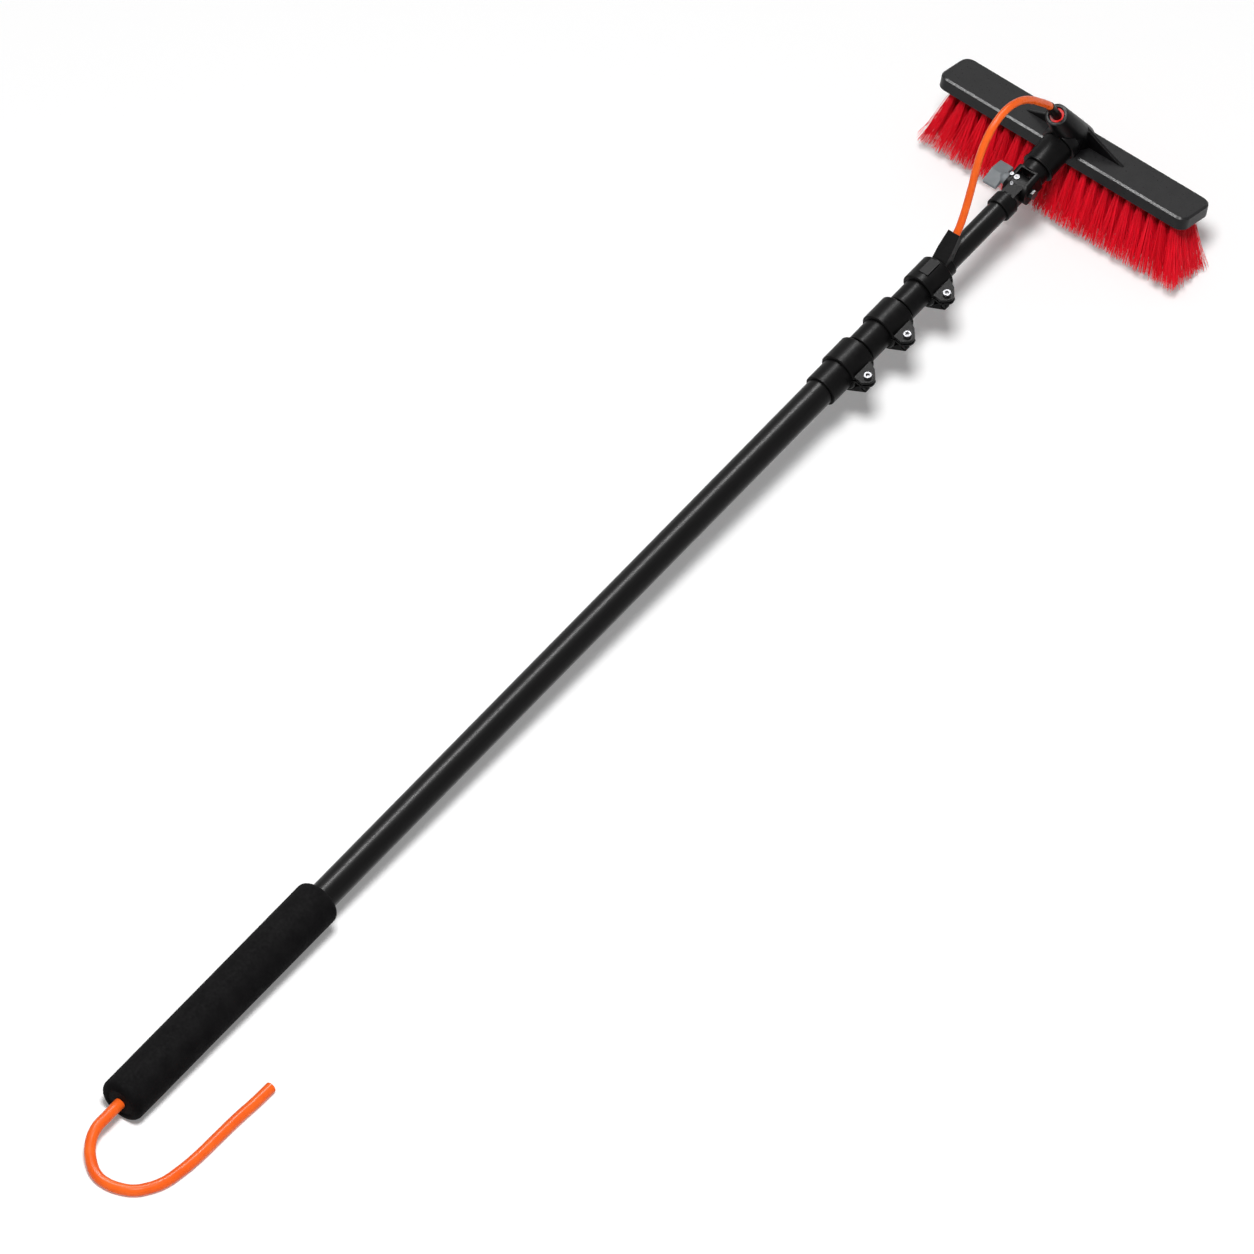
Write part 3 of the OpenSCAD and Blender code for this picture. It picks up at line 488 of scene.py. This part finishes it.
pocket_len, pocket_w = field_len + 4 * mm, field_w + 2 * mm
shape = bmesh.new()
stacked(shape, [
    rounded_ring(shape, pocket_len, pocket_w, 3 * mm, pocket - block_t),
    rounded_ring(shape, pocket_len, pocket_w, 3 * mm, -block_t),
    rounded_ring(shape, block_len - 2 * lip, block_w - 2 * lip, corner - lip, -block_t),
    rounded_ring(shape, block_len, block_w, corner, lip - block_t),
    rounded_ring(shape, block_len, block_w, corner, -chamfer),
    rounded_ring(shape, block_len - 2 * chamfer, block_w - 2 * chamfer,
                 corner - chamfer, 0)])
bmesh.ops.recalc_face_normals(shape, faces=shape.faces)
on_block("block_body", shape, block_frame, charcoal)

foot_r, mouth_r, bore_r, bore_depth = 19.5 * mm, 12 * mm, 8 * mm, 30 * mm
foot_sunk, edge, soft = 6 * mm, 1.1 * mm, 0.3 * mm
bore_edge = 0.6 * mm
on_block("hose_port", turned(
    [(0, -foot_sunk), (foot_r, -foot_sunk), (mouth_r + 0.1 * mm, port_len - edge),
     (mouth_r - soft, port_len - soft), (mouth_r - edge, port_len),
     (bore_r + bore_edge, port_len), (bore_r, port_len - bore_edge),
     (bore_r, port_len - bore_depth), (0, port_len - bore_depth)], 72),
    port_frame, ebony)

socket_r, socket_len, socket_wall = 19.5 * mm, 11 * mm, 2.5 * mm
socket_top = block_out - socket_z - 4 * mm
on_block("pole_socket", turned(
    [(0, 0), (socket_r - edge, 0), (socket_r - soft, soft), (socket_r, edge),
     (socket_r, socket_len - edge), (socket_r - soft, socket_len - soft),
     (socket_r - edge, socket_len), (socket_r - socket_wall, socket_len),
     (socket_r - socket_wall, socket_top), (0, socket_top)], 72),
    head_frame @ Matrix.Translation((0, 0, socket_z)), ebony)

rib_reach, rib_in, rib_h, rib_t, rib_sunk = 62 * mm, 9 * mm, 20.5 * mm, 4 * mm, 1 * mm
crest = [(rib_in + (rib_reach - rib_in) * t, rib_h * (1 - t) ** 1.12)
         for t in (0, 0.12, 0.24, 0.36, 0.48, 0.6, 0.72, 0.84, 0.94, 1)]
outline = [(0, -rib_sunk), (0, rib_h)] + crest + [(rib_reach, -rib_sunk)]
for name, side in (("left", -1), ("right", 1)):
    walls = [[(side * x, y, z) for x, z in outline] for y in (-rib_t / 2, rib_t / 2)]
    on_block(f"port_rib_{name}", extruded(walls, 0.7 * mm), block_frame, ebony, 40)

ring_red = Finish("ring_red", Roughness=0.5, Specular_IOR_Level=0.15)
ring_red.set("Base Color", ring_red.blend(
    ring_red.ramp(ring_red.noise(200, 3), 0.35, 0.65, 0, 1), (0.66, 0.008, 0.008),
    (0.80, 0.014, 0.012)))
ring_red.relief(ring_red.noise(1500, 2), 0.04 * mm, 0.3, 0.4 * mm)
dress(ring_red, "port_ring")

# Wing knob ----------------------------------------------------------------------------
# The grey moulded knob on the tilt bolt: a short hub and one wide paddle for finger and
# thumb, folded along its middle.
grey = moulding("grey_nylon", (0.215, 0.235, 0.250), (0.275, 0.295, 0.310), 0.42, 1.2)
hub_x, wing_x, far_x = 15.4 * mm, 21 * mm, 37.4 * mm
hub_far_x = wing_x + 3.5 * mm
hub_r, wing_half, wing_fold, wing_t = 6.5 * mm, 15 * mm, 4 * mm, 4.2 * mm
knob_edge = 0.6 * mm


def on_knob(name, shape, place, angle):
    piece = piece_from(name, put(shape, place), grey, angle)
    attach(piece, "knob")
    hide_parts("wing_knob")


fold = [(-wing_fold, 0), (0, -wing_half), (wing_t, -wing_half), (wing_t - 1 * mm, 0),
        (wing_t, wing_half), (0, wing_half)]
ends = [[(-x, y, z) for y, z in fold] for x in (wing_x, far_x)]
on_knob("knob_paddle", extruded(ends, knob_edge), head_frame, 12)
on_knob("knob_hub", turned(
    [(0, hub_x), (hub_r - knob_edge, hub_x), (hub_r, hub_x + knob_edge),
     (hub_r, wing_x), (wing_fold, hub_far_x), (0, hub_far_x)], 72),
    head_frame @ Matrix.Rotation(-math.pi / 2, 4, "Y"), 30)

# Bristles -----------------------------------------------------------------------------
# Fine red filaments, folded and stapled into round holes in tufts of many. Each tuft
# opens like a fan, the end tufts lean outwards, and the tips are trimmed nearly level.
tufts, rows, strands = 21, 5, 84
root_z = -12 * mm
tip_z = -(15 + 72) * mm
spread_x, spread_y = 21 * mm, 17 * mm
filament_d = 0.55 * mm
hole_r, fan_x, fan_y, jitter = 2.0 * mm, 8.2 * mm, 5.2 * mm, 1.1 * mm
steps_up = (0, 0.22, 0.5, 0.76, 1)
taper = (1, 1, 0.95, 0.85, 0.6)


def filament(rng, column, row):
    """One filament's points in the block's frame, from its hole to its tip."""
    u = (column + 0.5) / tufts * 2 - 1
    v = (row + 0.5) / rows * 2 - 1
    turn = rng.uniform(0, math.tau)
    out = math.sqrt(rng.random())
    hole_x = u * (field_len / 2 - 4 * mm) + hole_r * out * math.cos(turn)
    hole_y = v * (field_w / 2 - 3.4 * mm) + hole_r * out * math.sin(turn)
    fan = out * rng.uniform(0.75, 1.1)
    lean_x = spread_x * 0.9 * u ** 3 + fan_x * fan * math.cos(turn)
    lean_y = spread_y * v * 0.86 + fan_y * fan * math.sin(turn)
    stray = 5 if rng.random() < 0.006 else 1
    lean_x += rng.gauss(0, jitter * stray)
    lean_y += rng.gauss(0, jitter * stray)
    limit = field_w / 2 + spread_y
    lean_y = max(-limit - hole_y, min(limit - hole_y, lean_y))
    low = tip_z + rng.uniform(0.2, 5.5) * mm + 2.6 * mm * fan ** 2
    curl = rng.uniform(0.85, 1.5)
    line = []
    for step in steps_up:
        bend = step ** curl
        line.append(block_frame @ Vector((hole_x + lean_x * bend, hole_y + lean_y * bend,
                                          root_z + (low - root_z) * step)))
    return line


red = Finish("bristle_red", Specular_IOR_Level=0.16)
tint = red.node("ShaderNodeAttribute", {"attribute_name": "tint"}, out="Fac")
rise = red.node("ShaderNodeAttribute", {"attribute_name": "rise"}, out="Fac")
shade = red.blend(tint, (0.78, 0.0030, 0.0140), (1.00, 0.0080, 0.0300))
# Over the lowest part of each filament the colour is painted darker towards the root, half way
# to a dark red at the root itself: painted shade for the crowded filaments under the block.
red.set("Base Color", red.blend(red.ramp(rise, 0.0, 0.45, 0.5, 0.0), shade,
                                (0.36, 0.0012, 0.0060)))
red.set("Roughness", red.ramp(tint, 0, 1, 0.36, 0.5))

for row in range(rows):
    rng = random.Random(41 + row)
    curve = round_curve(filament_d / 2, 0)
    tints = []
    for column in range(tufts):
        tuft_tint = rng.uniform(0.35, 0.75)
        for _ in range(strands):
            stroke(curve, filament(rng, column, row), taper)
            tints.append(min(1, max(0, tuft_tint + rng.gauss(0, 0.2))))
    mesh = mesh_of(curve)
    mesh.name = f"bristle_row_{row + 1}"
    each = len(mesh.vertices) // len(tints)
    mesh.attributes.new("tint", "FLOAT", "POINT").data.foreach_set(
        "value", np.repeat(np.array(tints, np.float32), each))
    # rise is how far along its filament each point lies, 0 at the root; the material uses it for
    # the painted shade at the roots.
    mesh.attributes.new("rise", "FLOAT", "POINT").data.foreach_set(
        "value", np.tile(np.repeat(np.array(steps_up, np.float32),
                                   each // len(steps_up)), len(tints)))
    mesh.shade_smooth()
    piece = bpy.data.objects.new(f"bristle_row_{row + 1}", mesh)
    bpy.context.scene.collection.objects.link(piece)
    mesh.materials.clear()
    dress(red, piece)
    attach(piece, "head")
    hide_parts("bristles")

# Studio -------------------------------------------------------------------------------
# A white floor under one broad soft lamp high above, so that soft shadows lie close to
# the object. Two lamps that only gloss shows draw the streak along the tubes and the
# bright line on the block's front edge.


def background_rays(tree):
    """1 for the rays that show the white background: camera, glossy and transmission."""
    seen = tree.nodes.new("ShaderNodeLightPath")
    total = seen.outputs["Is Camera Ray"]
    for kind in ("Is Glossy Ray", "Is Transmission Ray"):
        most = tree.nodes.new("ShaderNodeMath")
        most.operation = "MAXIMUM"
        tree.links.new(total, most.inputs[0])
        tree.links.new(seen.outputs[kind], most.inputs[1])
        total = most.outputs[0]
    return total


floor_shape = bmesh.new()
bmesh.ops.create_grid(floor_shape, x_segments=2, y_segments=2, size=12)
white = bpy.data.materials.new("floor_white")
white.use_nodes = True
tree = white.node_tree
tree.nodes.clear()
paper = tree.nodes.new("ShaderNodeBsdfDiffuse")
paper.inputs["Color"].default_value = (0.88, 0.88, 0.88, 1)
glow = tree.nodes.new("ShaderNodeEmission")
shown = background_rays(tree)
level = tree.nodes.new("ShaderNodeMath")
level.operation = "MULTIPLY"
level.inputs[1].default_value = 0.17
tree.links.new(shown, level.inputs[0])
tree.links.new(level.outputs[0], glow.inputs["Strength"])
both = tree.nodes.new("ShaderNodeAddShader")
tree.links.new(paper.outputs[0], both.inputs[0])
tree.links.new(glow.outputs[0], both.inputs[1])
end = tree.nodes.new("ShaderNodeOutputMaterial")
tree.links.new(both.outputs[0], end.inputs["Surface"])
floor_mesh = bpy.data.meshes.new("floor")
floor_shape.to_mesh(floor_mesh)
floor_shape.free()
floor_mesh.materials.append(white)
floor = bpy.data.objects.new("floor", floor_mesh)
bpy.context.scene.collection.objects.link(floor)

world = bpy.data.worlds.new("studio")
bpy.context.scene.world = world
world.use_nodes = True
tree = world.node_tree
sky = tree.nodes["Background"]
sky.inputs["Color"].default_value = (1, 1, 1, 1)
level = tree.nodes.new("ShaderNodeMapRange")
level.inputs["To Min"].default_value = 0.18
level.inputs["To Max"].default_value = 1.0
tree.links.new(background_rays(tree), level.inputs["Value"])
tree.links.new(level.outputs[0], sky.inputs["Strength"])


def lamp(name, place, target, size, power, gloss_only=False):
    light = bpy.data.lights.new(name, "AREA")
    light.shape = "RECTANGLE"
    light.size, light.size_y = size
    light.energy = power
    holder = bpy.data.objects.new(name, light)
    holder.location = place
    back = Vector(place) - Vector(target)
    holder.rotation_euler = back.to_track_quat("Z", "Y").to_euler()
    holder.visible_diffuse = not gloss_only
    bpy.context.scene.collection.objects.link(holder)


lamp("key", (1.75, -2.1, 8.0), (0, 0, 0), (1.8, 1.8), 640)
lamp("streak", (-0.72, 1.25, 2.6), (0, 1.25, 0), (2.4, 0.34), 190, gloss_only=True)
lamp("edge", (-1.2, -0.43, 2.6), (0, 0.7, 0.1), (0.8, 0.5), 80, gloss_only=True)

bpy.context.scene.view_settings.view_transform = "Standard"
